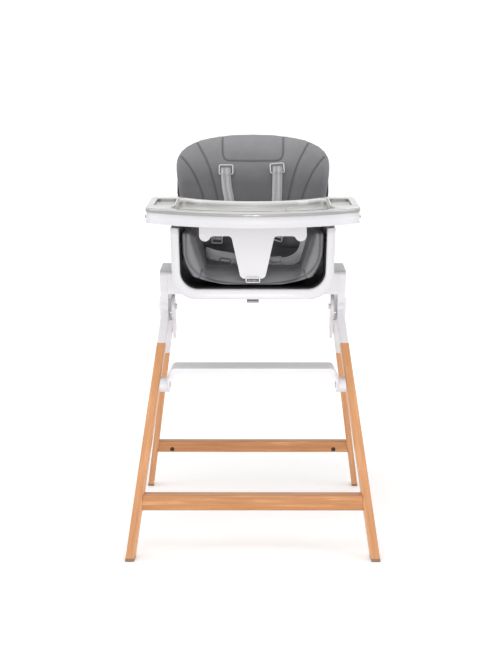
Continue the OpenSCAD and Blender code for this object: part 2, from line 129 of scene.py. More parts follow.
area_light("key", (-0.5, -1.3, 3.2), (0, 0, 0.6), (1.8, 1.6), 13)
area_light("front", (0.2, -3.4, 0.70), (0, 0, 0.68), (2.4, 1.0), 11)
area_light("side_left", (-2.4, -0.6, 1.2), (0, 0, 0.6), (0.7, 2.0), 8.5)
area_light("side_right", (2.4, -0.9, 1.3), (0, 0, 0.6), (0.7, 2.0), 10)
area_light("low_fill", (0, -1.5, 0.32), (0, -0.1, 0.69), (0.3, 0.12), 3.2)
area_light("back_rim", (0.4, 2.2, 2.2), (0, 0, 0.8), (2.0, 0.8), 6)

# %% [markdown]
# ## Shader arithmetic
# A finish is a sum of small effects, which is easier to read as arithmetic than as a web of
# nodes. `Wire` holds one number that varies over a surface, and its operators add Math
# nodes. `Finish` holds one material, and its `node` method adds any other node.

# %% Wire and Finish


class Wire:
    """A shader number that adds a Math node for each sum done with it."""

    def __init__(self, finish, socket):
        self.finish, self.socket = finish, socket

    def sum(self, operation, first, second):
        node = self.finish.node("ShaderNodeMath", {"operation": operation}, {0: first, 1: second})
        return Wire(self.finish, node.outputs[0])

    def __add__(self, other):
        return self.sum("ADD", self, other)

    def __sub__(self, other):
        return self.sum("SUBTRACT", self, other)

    def __rsub__(self, other):
        return self.sum("SUBTRACT", other, self)

    def __mul__(self, other):
        return self.sum("MULTIPLY", self, other)

    __radd__ = __add__
    __rmul__ = __mul__


class Finish:
    """One material: a Principled shader, and the nodes that feed it."""

    def __init__(self, name, roughness=0.5, **constants):
        self.material = bpy.data.materials.new(name)
        self.material.use_nodes = True
        self.tree = self.material.node_tree
        self.tree.nodes.clear()
        self.shader = self.node("ShaderNodeBsdfPrincipled", {}, {"Roughness": roughness})
        for socket, value in constants.items():
            self.shader.inputs[socket.replace("_", " ")].default_value = value
        self.node("ShaderNodeOutputMaterial", {}, {"Surface": self.shader.outputs[0]})

    def node(self, kind, settings, values):
        made = self.tree.nodes.new(kind)
        for key, value in settings.items():
            if key == "stops":
                for index, (at, colour) in enumerate(value):
                    if index > 1:
                        made.color_ramp.elements.new(at)
                    made.color_ramp.elements[index].position = at
                    made.color_ramp.elements[index].color = colour
            else:
                setattr(made, key, value)
        for key, value in values.items():
            value = value.socket if isinstance(value, Wire) else value
            if isinstance(value, bpy.types.NodeSocket):
                self.tree.links.new(value, made.inputs[key])
            else:
                made.inputs[key].default_value = value
        return made

    def feed(self, **values):
        for key, value in values.items():
            value = value.socket if isinstance(value, Wire) else value
            self.tree.links.new(value, self.shader.inputs[key.replace("_", " ")])

    def place(self):
        return self.node("ShaderNodeTexCoord", {}, {}).outputs["Object"]

    def stretch(self, scale, turn=(0, 0, 0)):
        return self.node("ShaderNodeMapping", {}, {
            "Vector": self.place(), "Scale": scale, "Rotation": turn}).outputs[0]

    def noise(self, size, detail=3.0, vector=None):
        made = self.node("ShaderNodeTexNoise", {}, {
            "Vector": vector or self.place(), "Scale": 1 / (size * MM), "Detail": detail})
        return Wire(self, made.outputs["Fac"])

    def cells(self, size, vector=None, feature="F1"):
        made = self.node("ShaderNodeTexVoronoi", {"feature": feature}, {
            "Vector": vector or self.place(), "Scale": 1 / (size * MM)})
        return Wire(self, made.outputs["Distance"])

    def along(self, direction):
        """Distance along a direction, in metres."""
        made = self.node("ShaderNodeVectorMath", {"operation": "DOT_PRODUCT"}, {
            0: self.place(), 1: direction})
        return Wire(self, made.outputs["Value"])

    def painted(self, attribute):
        """A number that the mesh carries at its points."""
        made = self.node("ShaderNodeAttribute", {"attribute_name": attribute}, {})
        return Wire(self, made.outputs["Fac"])

    def ramp(self, wire, stops):
        return self.node("ShaderNodeValToRGB", {"stops": stops}, {"Fac": wire}).outputs["Color"]

    def blend(self, share, first, second):
        """A colour between two, by a share from 0 to 1."""
        made = self.node("ShaderNodeMix", {"data_type": "RGBA"}, {0: share, 6: first, 7: second})
        return made.outputs[2]

    def bump(self, height, depth_mm, after=None):
        """A dent map: height from 0 to 1 is worth depth_mm."""
        values = {"Height": height, "Distance": depth_mm * MM, "Strength": 1.0}
        if after is not None:
            values["Normal"] = after
        return self.node("ShaderNodeBump", {}, values).outputs[0]


def dimmed(colour, share):
    """A colour scaled towards black."""
    return tuple(c * share for c in colour[:3]) + (1.0,)


def shade(red, green, blue):
    """A screen colour, 0 to 255, as a linear one for a shader."""
    screen = [c / 255 for c in (red, green, blue)]
    linear = [((c + 0.055) / 1.055) ** 2.4 if c > 10 / 255 else c / 12.92 for c in screen]
    return (*linear, 1.0)


print("shader helpers ready")

# %% [markdown]
# ## Moulded plastics
# The hoop, tray and hub are injection moulded. Such a surface is smooth but never perfect:
# it has a fine spark-eroded grain, faint flow marks and patches that hands have polished.
# So the colour drifts by a percent or two, the roughness by more, and a very fine bump
# breaks up the highlight. The hoop and the crotch post are probably the same plastic as the
# other white parts. Their darker finish is painted shade, a darker copy of that white tuned
# under this scene's lights, and is not a measured colour.

# %% Plastic finishes


DRIFT, FLOW_MM = 0.03, 0.05


def plastic(name, colour, roughness, grain_mm=0.55, grain_depth=0.006, coat=0.0, specular=0.5):
    made = Finish(name, Coat_Weight=coat, Coat_Roughness=0.12, Specular_IOR_Level=specular)
    patches = made.noise(70, 2.0)
    darker = dimmed(colour, 1 - DRIFT)
    made.feed(
        Base_Color=made.blend(patches, darker, colour),
        Roughness=made.noise(16) * 0.10 + (roughness - 0.05),
    )
    flow = made.bump(made.noise(45, 1.0), FLOW_MM)
    made.feed(Normal=made.bump(made.cells(grain_mm), grain_depth, flow))
    return made.material


white_plastic = plastic("white_moulding", shade(216, 214, 217), 0.36, coat=0.15)
# The hoop's and crotch post's copy of the white plastic is darker: painted shade.
shaded_hoop_plastic = plastic("hoop_moulding", shade(200, 198, 201), 0.36, coat=0.15)
tray_plastic = plastic("tray_moulding", shade(209, 208, 212), 0.34, coat=0.08)
grey_plastic = plastic("grey_moulding", shade(157, 153, 154), 0.42)
black_plastic = plastic("black_shell", shade(11, 11, 12), 0.5, 1.1, 0.05, specular=0.15)
buckle_plastic = plastic("buckle_moulding", shade(74, 73, 76), 0.45)
print("plastics:", white_plastic.name, tray_plastic.name, grey_plastic.name, black_plastic.name)

# %% [markdown]
# ## The tray cover
# The lift-off cover is a glossy grey moulding, perhaps slightly clear. Real transmission would
# hide its shape and cost much time, so it is opaque, with a clear coat and low roughness. The
# light and dark bands of its reflections are only imitated: the paint `rim`, from 0 to 1,
# darkens it by place. In other lighting those bands stay where they are.

# %% Cover finish


def smoky_cover():
    made = Finish("cover_moulding", Coat_Weight=0.9, Coat_Roughness=0.05)
    tone = made.painted("rim") + made.noise(60, 2.0) * 0.04
    made.feed(
        Base_Color=made.blend(tone, shade(249, 248, 246), shade(70, 69, 65)),
        Roughness=made.noise(12) * 0.08 + 0.20,
        Normal=made.bump(made.noise(35, 1.0), 0.15, made.bump(made.cells(0.7), 0.006)),
    )
    return made.material


cover_plastic = smoky_cover()
print("cover:", cover_plastic.name)

# %% [markdown]
# ## Beech
# Beech is a pale pinkish wood with long straight grain and short dark flecks, under a satin
# lacquer. The grain must run along each piece, so each gets a material of its own whose
# noise is stretched along that piece's own direction.

# %% Wood finish


def long_direction(node):
    points = np.array([v.co for v in frame["nodes"][node].data.vertices], float)
    spread = np.linalg.svd(points - points.mean(0), full_matrices=False)[2]
    return [tuple(float(c) for c in axis) for axis in spread]


def beech(name, node, front, side):
    made = Finish(name, Coat_Weight=0.25, Coat_Roughness=0.22)
    run, across, through = (made.along(axis) for axis in long_direction(node))
    grain_space, fleck_space = (
        made.node("ShaderNodeCombineXYZ", {}, {0: run * share, 1: across, 2: through}).outputs[0]
        for share in (0.045, 0.22))
    bands = made.noise(7, 4.0, grain_space)
    fine = made.noise(1.6, 2.0, grain_space)
    flecks = made.cells(1.9, fleck_space)
    wood = made.ramp(bands * 0.75 + fine * 0.25, [
        (0.30, side), (0.55, front), (0.80, shade(230, 178, 132))])
    fleck_mask = made.node("ShaderNodeMapRange", {}, {
        0: flecks, 1: 0.10, 2: 0.22, 3: 0.30, 4: 0.0}).outputs[0]
    made.feed(
        Base_Color=made.blend(fleck_mask, wood, shade(150, 98, 62)),
        Roughness=fine * 0.18 + 0.30,
        Normal=made.bump(fine, 0.05, made.bump(flecks, 0.02)),
    )
    return made.material


WOOD_FRONT, WOOD_SIDE = shade(205, 147, 99), shade(186, 127, 80)
BAR_FRONT, BAR_SIDE = shade(190, 131, 79), shade(171, 112, 64)
wood = {}
for node in ("front_leg_left", "front_leg_right", "rear_leg_left", "rear_leg_right",
             "front_stretcher", "rear_stretcher"):
    tones = (BAR_FRONT, BAR_SIDE) if "stretcher" in node else (WOOD_FRONT, WOOD_SIDE)
    wood[node] = beech("beech_" + node, node, *tones)
print("wood along", {node: [round(c, 2) for c in long_direction(node)[0]] for node in wood})

# %% [markdown]
# ## Metal and rubber
# The pins and screws are zinc-plated steel, turned on a lathe, with faint rings of tool
# marks. The feet wear soft rubber caps in a brown close to the wood, dull and scuffed.

# %% Metal and rubber finishes


def metal(name, colour, roughness):
    made = Finish(name, Metallic=1.0)
    rings = made.noise(0.8, 1.0, made.stretch((1, 0.05, 0.05)))
    made.feed(
        Base_Color=made.blend(made.noise(9), dimmed(colour, 0.8), colour),
        Roughness=rings * 0.2 + (roughness - 0.1),
        Normal=made.bump(rings, 0.01),
    )
    return made.material


def rubber(name, colour):
    made = Finish(name)
    scuff = made.noise(5, 5.0)
    made.feed(
        Base_Color=made.blend(scuff, dimmed(colour, 0.78), colour),
        Roughness=scuff * 0.2 + 0.62,
        Normal=made.bump(made.noise(0.9), 0.05),
    )
    return made.material


steel = metal("plated_steel", shade(190, 190, 194), 0.32)
dark_screw = metal("dark_screw", shade(70, 66, 64), 0.42)
foot_rubber = rubber("foot_rubber", shade(146, 120, 100))
print("metal and rubber:", steel.name, dark_screw.name, foot_rubber.name)

# %% [markdown]
# ## Cushion leatherette
# The pads are covered in a matt grey coated fabric. Its grain is a mesh of tiny pebbles
# under a millimetre across, and it shines a little where it is pulled tight. The pad
# meshes carry two painted numbers: `seam`, 1 in the fold of a seam, where painted shade
# darkens the cover, and `lift`, 1 near the top of the seat, where painted light makes it lighter.

# %% Leatherette and cloth finishes


def leatherette(name, low, high):
    made = Finish(name, Sheen_Weight=0.12, Sheen_Roughness=0.5)
    seam, lift = made.painted("seam"), made.painted("lift")
    pebbles = made.cells(0.85, feature="SMOOTH_F1")
    mottle_and_painted_light = made.noise(24, 4.0) * 0.25 + lift * 0.9 - 0.12
    face = made.blend(mottle_and_painted_light, low, high)
    made.feed(
        Base_Color=made.blend(seam * 0.75, face, shade(44, 43, 45)),
        Roughness=made.noise(8) * 0.12 + pebbles * 0.10 + 0.42,
        Normal=made.bump(pebbles, 0.10, made.bump(made.noise(11, 3.0), 0.35)),
    )
    return made.material


def woven(name, colour, thread_mm=0.8):
    made = Finish(name, Sheen_Weight=0.25, Sheen_Roughness=0.6)
    warp, weft = (
        Wire(made, made.node("ShaderNodeTexWave", {"wave_type": "BANDS", "bands_direction": way}, {
            "Vector": made.place(), "Scale": 0.314 / (thread_mm * MM), "Distortion": 0.4}).outputs["Fac"])
        for way in ("X", "Z"))
    threads = warp * weft
    made.feed(
        Base_Color=made.blend(threads * 0.6 + made.noise(14) * 0.4, dimmed(colour, 0.55), colour),
        Roughness=made.noise(3) * 0.1 + 0.78,
        Normal=made.bump(threads, 0.18),
    )
    return made.material


pad_leather = leatherette("pad_leatherette", shade(94, 93, 96), shade(150, 149, 152))
back_fabric = woven("back_cloth", shade(70, 69, 72))
print("covers:", pad_leather.name, back_fabric.name)

# %% [markdown]
# ## Webbing
# Harness webbing is woven flat and tight: raised cords run along it, fine weft threads run
# across. The ribbon meshes carry `across`, from 0 to 1, and `along`, in metres, so the
# pattern follows every bend, which no flat projection would do.

# %% Webbing finish


def webbing_finish(name, low, high):
    made = Finish(name, Sheen_Weight=0.8, Sheen_Roughness=0.4)
    across, along = made.painted("across"), made.painted("along")

    def ridges(wire, per_unit):
        turned = made.node("ShaderNodeMath", {"operation": "SINE"}, {0: wire * (per_unit * 2 * math.pi)})
        return Wire(made, turned.outputs[0]) * 0.5 + 0.5

    cords, weft = ridges(across, 7.0), ridges(along, 900.0)
    broad = ridges(across, 2.0)
    made.feed(
        Base_Color=made.blend(
            cords * 0.4 + broad * 0.35 + weft * 0.15 + made.noise(6) * 0.2, low, high),
        Roughness=made.noise(2) * 0.15 + 0.38,
        Normal=made.bump(cords, 0.25, made.bump(weft, 0.06)),
    )
    return made.material


# The lap straps use a lighter copy of the same webbing: painted light for straps that sit in the seat's
# shade.
lap_webbing = webbing_finish("lap_webbing", shade(214, 213, 216), shade(252, 251, 253))
webbing = webbing_finish("harness_webbing", shade(112, 111, 114), shade(205, 204, 207))
print("webbing:", webbing.name)

# %% [markdown]
# ## Rounded mouldings
# A moulded part has no knife edges, because the mould's own corners are rounded. The CAD
# solids are exact but sharp. A copy of each mesh has its doubled points merged, and a
# Bevel modifier rounds the edges that are sharper than its angle. Weighted normals then
# keep the large faces flat, so that the light breaks only at the new edges.

# %% Helpers for pieces that replace CAD nodes


def finished(shape, name):
    """The mesh that a bmesh has built, once it is done with."""
    mesh = bpy.data.meshes.new(name)
    shape.to_mesh(mesh)
    shape.free()
    return mesh


def linked(name, mesh):
    """An object in the scene, which it must be in before its modifiers can work."""
    made = bpy.data.objects.new(name, mesh)
    scene.collection.objects.link(made)
    return made


def applied(working):
    """The mesh that a working object's modifiers make."""
    graph = bpy.context.evaluated_depsgraph_get()
    made = bpy.data.meshes.new_from_object(working.evaluated_get(graph))
    bpy.data.objects.remove(working)
    return made


def body_name(node):
    return frame["nodes"][node].parent.name.split(":", 1)[1]


def add_piece(name, mesh, finish, slot, body, *nodes):
    piece = linked(name, mesh)
    mesh.materials.clear()
    mesh.materials.append(finish)
    mesh.shade_smooth()
    if body:
        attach(piece, body)
    if nodes:
        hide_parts(*nodes)
    return piece


def soften(node, width, finish, slot):
    mesh = frame["nodes"][node].data.copy()
    shape = bmesh.new()
    shape.from_mesh(mesh)
    bmesh.ops.remove_doubles(shape, verts=shape.verts, dist=2e-6)
    shape.to_mesh(mesh)
    shape.free()
    piece = add_piece(node + "_moulded", mesh, finish, slot, body_name(node), node)
    rounding = piece.modifiers.new("rounded_edges", "BEVEL")
    rounding.width = width * MM
    rounding.segments = 3
    rounding.limit_method = "ANGLE"
    rounding.angle_limit = math.radians(28)
    even = piece.modifiers.new("even_shading", "WEIGHTED_NORMAL")
    even.keep_sharp = True
    return piece


def paint_node(node, finish):
    obj = frame["nodes"][node]
    obj.data.materials.clear()
    obj.data.materials.append(finish)


# %% Round the plastics

BOTH = ("_left", "_right")
moulded = [
    (white_plastic, "white_plastic", {
        "front_shell": 2.5, "carrier_bracket": 1.6, "footrest_boss": 3.5, "rear_socket": 1.6,
        "armrest": 2.6, "carrier_platform": 1.2, "footrest": 1.8}),
    (shaded_hoop_plastic, "white_plastic", {"crotch_post": 2.8}),
    (black_plastic, "black_plastic", {"seat_shell": 1.2, "back_shell": 1.2}),
    (grey_plastic, "grey_plastic", {"release_lever": 1.4, "tray_button": 0.9}),
]
rounded = 0
for finish, slot, widths in moulded:
    for stem, width in widths.items():
        for node in [stem] if stem in frame["nodes"] else [stem + side for side in BOTH]:
            soften(node, width, finish, slot)
            rounded += 1
soften("harness_buckle", 3.0, buckle_plastic, "grey_plastic")
print("rounded mouldings", rounded + 1)

# %% Finish the turned, domed and wooden CAD pieces

for node, finish in wood.items():
    paint_node(node, finish)
for finish, names in (
    (white_plastic, ["pivot_cover_left", "pivot_cover_right"]),
    (white_plastic, ["pivot_bolts", "footrest_pins"]),
    (steel, ["lever_pin", "recline_pins"]),
    (dark_screw, ["stretcher_bolts"]),
    (foot_rubber, ["front_foot_left", "front_foot_right", "rear_foot_left", "rear_foot_right"]),
):
    for node in names:
        paint_node(node, finish)

# %% [markdown]
# ## The backrest's own frame
# The backrest leans back 22 degrees about its hinge. Its pieces are easier to draw flat:
# x across, s up the back from the hinge, and y out of the face, with the child at -y.
# One function turns that into chair coordinates.

# %% Backrest coordinates
HINGE_Y, HINGE_Z, LEAN = 90, 672, math.radians(22)


def on_back(points):
    """Points as x, y, s in millimetres, to chair coordinates in metres."""
    x, y, s = np.asarray(points, float).reshape(-1, 3).T
    return np.stack([
        x,
        HINGE_Y + y * math.cos(LEAN) + s * math.sin(LEAN),
        HINGE_Z - y * math.sin(LEAN) + s * math.cos(LEAN),
    ], 1) * MM


def smooth_line(points, per_span=8):
    """A curve through points, as more points: Catmull-Rom."""
    p = np.asarray(points, float)
    p = np.vstack([2 * p[0] - p[1], p, 2 * p[-1] - p[-2]])
    t = np.linspace(0, 1, per_span, endpoint=False)[:, None]
    spans = [
        0.5 * ((2 * b) + (c - a) * t + (2 * a - 5 * b + 4 * c - d) * t**2 + (3 * b - a - 3 * c + d) * t**3)
        for a, b, c, d in zip(p, p[1:], p[2:], p[3:])
    ]
    return np.vstack(spans + [p[-2:-1]])


def unit(rows):
    """Every row scaled to length 1."""
    return rows / np.linalg.norm(rows, axis=1, keepdims=True)


def travel(line):
    """How far along a line each of its points lies."""
    return np.concatenate([[0], np.cumsum(np.linalg.norm(np.diff(line, axis=0), axis=1))])


def bell(distance, width):
    """1 on a line, fading smoothly to 0 beside it."""
    return np.exp(-((distance / width) ** 2))


def distance_to(points, line):
    """How far each 2-D point is from a line of 2-D points."""
    best = np.full(len(points), np.inf)
    for a, b in zip(line[:-1], line[1:]):
        span = b - a
        share = np.clip((points - a) @ span / max(span @ span, 1e-9), 0, 1)[:, None]
        best = np.minimum(best, np.linalg.norm(points - a - share * span, axis=1))
    return best


mirror = np.array([-1.0, 1.0])
print("hinge at", HINGE_Y, HINGE_Z)

# %% [markdown]
# ## Making a pad
# A pad is foam in a sewn cover: it crowns between its seams and its sides pull in. Pressing
# flat shapes into that by hand looks stiff, so each pad starts as a slightly small block,
# remeshed evenly, and Blender's Cloth inflates it for twenty steps. How far a point may
# move is capped, and one subdivision smooths it. Seams come after, because remeshing
# would wipe them out: points near a seam line sink, and the paint `seam` marks them.

# %% Pad helpers
PAD_VOXEL = 5 * MM


def even_mesh(mesh, voxel=PAD_VOXEL):
    """The same closed shape, with even small faces."""
    block = linked("block", mesh)
    remesh = block.modifiers.new("remesh", "REMESH")
    remesh.mode = "VOXEL"
    remesh.voxel_size = voxel
    return applied(block)


def coordinates(mesh):
    co = np.empty(len(mesh.vertices) * 3)
    mesh.vertices.foreach_get("co", co)
    return co.reshape(-1, 3)


def set_coordinates(mesh, co):
    mesh.vertices.foreach_set("co", np.asarray(co, float).ravel())
    mesh.update()


def relax(mesh, rounds, share=0.5):
    """Moves each point part of the way to the middle of its neighbours."""
    edges = np.empty(len(mesh.edges) * 2, int)
    mesh.edges.foreach_get("vertices", edges)
    a, b = edges.reshape(-1, 2).T
    co = coordinates(mesh)
    count = np.bincount(np.concatenate([a, b]), minlength=len(co))[:, None]
    for _ in range(rounds):
        total = np.zeros_like(co)
        np.add.at(total, a, co[b])
        np.add.at(total, b, co[a])
        co += share * (total / count - co)
    set_coordinates(mesh, co)


def inflate(mesh, cap, pressure=4.0, steps=20):
    """Blows the closed mesh up with Cloth, and limits how far each point goes."""
    before = coordinates(mesh)
    balloon = linked("balloon", mesh)
    cloth = balloon.modifiers.new("cloth", "CLOTH")
    cloth.settings.use_pressure = True
    cloth.settings.uniform_pressure_force = pressure
    cloth.settings.effector_weights.gravity = 0
    cloth.settings.quality = 5
    cloth.point_cache.frame_start, cloth.point_cache.frame_end = 1, steps
    for step in range(1, steps + 1):
        scene.frame_set(step)
    blown = balloon.evaluated_get(bpy.context.evaluated_depsgraph_get()).to_mesh()
    after = coordinates(blown)
    bpy.data.objects.remove(balloon)
    scene.frame_set(1)
    move = after - before
    length = np.linalg.norm(move, axis=1, keepdims=True)
    set_coordinates(mesh, before + move * np.minimum(1, cap / np.maximum(length, 1e-9)))
    print("inflated", mesh.name, "moved up to", round(float(length.max() / MM), 1), "mm")


def subdivided(mesh):
    shape = linked("shape", mesh)
    finer = shape.modifiers.new("finer", "SUBSURF")
    finer.levels = finer.render_levels = 1
    return applied(shape)


def paint_points(mesh, name, values):
    layer = mesh.attributes.new(name, "FLOAT", "POINT")
    layer.data.foreach_set("value", np.asarray(values, np.float32))


def loft(rings, closed_ring=True, caps=True):
    """A mesh through rings of the same number of points."""
    rings = [np.asarray(ring, float) for ring in rings]
    size = len(rings[0])
    faces = []
    for r in range(len(rings) - 1):
        for i in range(size if closed_ring else size - 1):
            j = (i + 1) % size
            faces.append((r * size + i, r * size + j, (r + 1) * size + j, (r + 1) * size + i))
    if caps:
        faces.append(tuple(range(size))[::-1])
        faces.append(tuple((len(rings) - 1) * size + i for i in range(size)))
    mesh = bpy.data.meshes.new("loft")
    mesh.from_pydata(np.vstack(rings).tolist(), [], faces)
    mesh.update()
    return mesh


def outward(mesh):
    """Turns every face of a closed mesh outward."""
    shape = bmesh.new()
    shape.from_mesh(mesh)
    bmesh.ops.recalc_face_normals(shape, faces=shape.faces)
    shape.to_mesh(mesh)
    shape.free()
    return mesh


# %% [markdown]
# ## The seat hoop
# The hoop is a U of thick plastic that frames the seat's front. It could be bevelled like
# the other mouldings, but its corners swing through a wide curve, so a rounded section
# carried along the U gives cleaner highlights than a bevel on the CAD mesh.

# %% Hoop
HOOP_FRONT, HOOP_BACK, HOOP_EDGE = -214.8, -185.2, 4.0


def u_line(half, foot, bottom, radius, top=775):
    """Right half of a U and its mirror, as x, z points with matching counts."""
    arc = [(foot - radius + radius * math.cos(a), bottom + radius - radius * math.sin(a))
           for a in np.linspace(0, math.pi / 2, 18)]
    side = [(half + (foot - half) * k, top + (bottom + radius - top) * k) for k in np.linspace(0, 1, 8)[:-1]]
    flat = [(x, bottom) for x in np.linspace(foot - radius, 0, 8)[1:]]
    right = np.array(side + arc + flat)
    return np.vstack([right, (right * mirror)[::-1][1:]])


def rounded_section(inner, outer, front, back, edge, steps=4):
    """A ring round a bar between two x, z points, from front to back in y."""
    inner, outer = np.array(inner), np.array(outer)
    span = np.linalg.norm(outer - inner)
    way = (outer - inner) / span
    ring = []
    for centre_n, centre_y, start in (
        (edge, front + edge, 180), (span - edge, front + edge, 270),
        (span - edge, back - edge, 0), (edge, back - edge, 90),
    ):
        for a in np.radians(np.linspace(start, start + 90, steps + 1)):
            n, y = centre_n + edge * math.cos(a), centre_y + edge * math.sin(a)
            point = inner + way * n
            ring.append((point[0], y, point[1]))
    return np.array(ring)


hoop_outer = u_line(189, 186.5, 610, 58)
hoop_inner = u_line(170, 167.5, 634, 42)
hoop_rings = [rounded_section(i, o, HOOP_FRONT, HOOP_BACK, HOOP_EDGE) * MM
              for i, o in zip(hoop_inner, hoop_outer)]
add_piece("hoop_moulded", outward(loft(hoop_rings)), shaded_hoop_plastic, "white_plastic", "seat", "seat_hoop")
print("hoop sections", len(hoop_rings))

# %% [markdown]
# ## The tray cover
# The cover is one vacuum-smooth sheet: a rolled lip outside, a flat rim, and wells with
# soft walls. The CAD node holds the exact outlines, so its own edge loops are read back and
# each well is drawn as a stack of loops that shrink as they go down, which rounds every
# edge in the way the mould does.

# %% Outline helpers


def flat_loops(node, z):
    """Outlines of a node's upward faces at a height, the longest first."""
    shape = bmesh.new()
    shape.from_mesh(frame["nodes"][node].data)
    bmesh.ops.remove_doubles(shape, verts=shape.verts, dist=2e-6)
    level = {f for f in shape.faces
             if abs(f.normal.z) > 0.99 and all(abs(v.co.z - z * MM) < 5e-5 for v in f.verts)}
    nexts = {}
    for edge in shape.edges:
        sides = [f for f in edge.link_faces if f in level]
        if len(sides) == 1:
            for a, b in (edge.verts, reversed(edge.verts)):
                nexts.setdefault(a, []).append(b)
    loops = []
    while nexts:
        start = next(iter(nexts))
        loop, here, before = [start], nexts[start][0], start
        while here is not start and here in nexts:
            loop.append(here)
            onward = [v for v in nexts[here] if v is not before]
            before, here = here, (onward or [start])[0]
        for v in loop:
            nexts.pop(v, None)
        loops.append(np.array([(v.co.x, v.co.y) for v in loop]) / MM)
    shape.free()
    return sorted(loops, key=lambda l: -np.ptp(l[:, 0]))


def even_loop(loop, count):
    """The same outline, anticlockwise, with evenly spaced points."""
    x, y = loop.T
    if np.sum(x * np.roll(y, -1) - np.roll(x, -1) * y) < 0:
        loop = loop[::-1]
    ring = np.vstack([loop, loop[:1]])
    travelled = travel(ring)
    at = np.linspace(0, travelled[-1], count, endpoint=False)
    return np.stack([np.interp(at, travelled, ring[:, k]) for k in (0, 1)], 1)


def offset_loop(loop, out):
    """Every point moved outward, square to the outline."""
    run = np.roll(loop, -1, axis=0) - np.roll(loop, 1, axis=0)
    run = unit(run)
    return loop + out * np.stack([run[:, 1], -run[:, 0]], 1)


def stack_faces(shape, loop, profile):
    """Adds walls through an outline's offsets, as (out, z) pairs, and returns the rings of vertices."""
    rings = [[shape.verts.new((x * MM, y * MM, z * MM)) for x, y in offset_loop(loop, out)]
             for out, z in profile]
    for upper, lower in zip(rings, rings[1:]):
        for i in range(len(upper)):
            j = (i + 1) % len(upper)
            shape.faces.new((upper[i], upper[j], lower[j], lower[i]))
    return rings


def fill_between(shape, *rings):
    """Fills the flat area that the rings bound."""
    shape.edges.ensure_lookup_table()
    edges = []
    for ring in rings:
        for i, vertex in enumerate(ring):
            edge = shape.edges.get((vertex, ring[(i + 1) % len(ring)]))
            edges.append(edge)
    bmesh.ops.triangle_fill(shape, use_beauty=True, use_dissolve=False, edges=edges)


# %% Cover
RIM_Z, WELL_Z, POCKET_Z = 818.0, 803.0, 810.0
LIP_SHINE_Z, POCKETS_FROM, FRONT_RIM_SHADE_TO = 815.8, 182, 215
cover_loops = flat_loops("tray_cover", RIM_Z)
print("cover outlines", [round(float(np.ptp(l[:, 0]))) for l in cover_loops])
cover = bmesh.new()
rim_loop = even_loop(cover_loops[0], 260)
LIP = [(-2.0, RIM_Z - 10.6), (-0.5, RIM_Z - 11), (0, RIM_Z - 10.4), (0, RIM_Z - 4.5), (-0.5, RIM_Z - 2.6),
       (-1.6, RIM_Z - 1.1), (-3.2, RIM_Z - 0.3), (-5.0, RIM_Z)]
lip = stack_faces(cover, rim_loop, LIP)
tops = [lip[-1]]
hollows = zip(cover_loops[1:4], (200, 72, 72), (WELL_Z, POCKET_Z, POCKET_Z))
for loop, count, floor_z in hollows:
    deep_mm = RIM_Z - floor_z
    profile = [(1.6, RIM_Z), (0.6, RIM_Z - 0.5), (0, RIM_Z - 1.8), (-0.6, floor_z + deep_mm * 0.35),
               (-1.6, floor_z + 1.6), (-3.4, floor_z + 0.3), (-5.4, floor_z)]
    rings = stack_faces(cover, even_loop(loop, count), profile)
    tops.append(rings[0])
    fill_between(cover, rings[-1])
fill_between(cover, *tops)
bmesh.ops.recalc_face_normals(cover, faces=cover.faces)
if sum(f.normal.z * f.calc_area() for f in cover.faces) < 0:
    bmesh.ops.reverse_faces(cover, faces=cover.faces)
cover_mesh = finished(cover, "cover")
co = coordinates(cover_mesh) / MM
outer_distance = distance_to(co[:, :2], np.vstack([rim_loop, rim_loop[:1]]))
well_distance = np.min(
    [distance_to(co[:, :2], np.vstack([loop, loop[:1]])) for loop in cover_loops[1:4]], axis=0)
normals = np.empty(len(co) * 3)
cover_mesh.vertices.foreach_get("normal", normals)
facing_x = np.abs(normals.reshape(-1, 3)[:, 0])
on_lip = outer_distance < 1.7
on_wall = (co[:, 2] < RIM_Z - 2) & (well_distance < 4)
sunk = co[:, 2] < RIM_Z - 2
# The paint `rim` holds the cover's grey together with painted light: a painted highlight line along the lip,
# painted shade at the lip's ends, on the front of the rim, along the wells' front edges, in the wells and on
# walls that face sideways, and a white painted reflection on the rest of the flat rim.
near_front = np.clip((-130 - co[:, 1]) / 40, 0, 1)
edge = bell(well_distance, 1.5)
from_middle = np.abs(co[:, 0])
lip_grey_and_painted_light = 0.72 + 0.06 * np.clip((from_middle - 110) / 120, 0, 1)
lip_grey_and_painted_light -= 0.4 * bell(co[:, 2] - LIP_SHINE_Z, 1.2)
sunk_grey_and_painted_light = 0.30 + 0.38 * (from_middle > POCKETS_FROM)
well_grey_and_painted_light = np.where(sunk, sunk_grey_and_painted_light, 0.32 * near_front * (from_middle < FRONT_RIM_SHADE_TO))
well_grey_and_painted_light += 0.28 * edge * near_front + 0.5 * on_wall * facing_x
paint_points(cover_mesh, "rim", np.where(on_lip, lip_grey_and_painted_light, well_grey_and_painted_light))
tray_cover = add_piece(
    "tray_cover_sheet", cover_mesh, cover_plastic, "cover_plastic", "tray_cover", "tray_cover")
sheet_skin = tray_cover.modifiers.new("wall", "SOLIDIFY")
sheet_skin.thickness = 1.6 * MM
sheet_skin.offset = -1
print("cover points", len(cover_mesh.vertices))

# %% [markdown]
# ## The tray
# Under the cover is a white tray: a wall that turns under in a soft edge, a deck that closes
# it, and four ribs below that run along the armrests' ridges when the tray slides. The
# wall is a thin section carried round the outline, and the notches where the ridges pass
# through its back are cut out last.

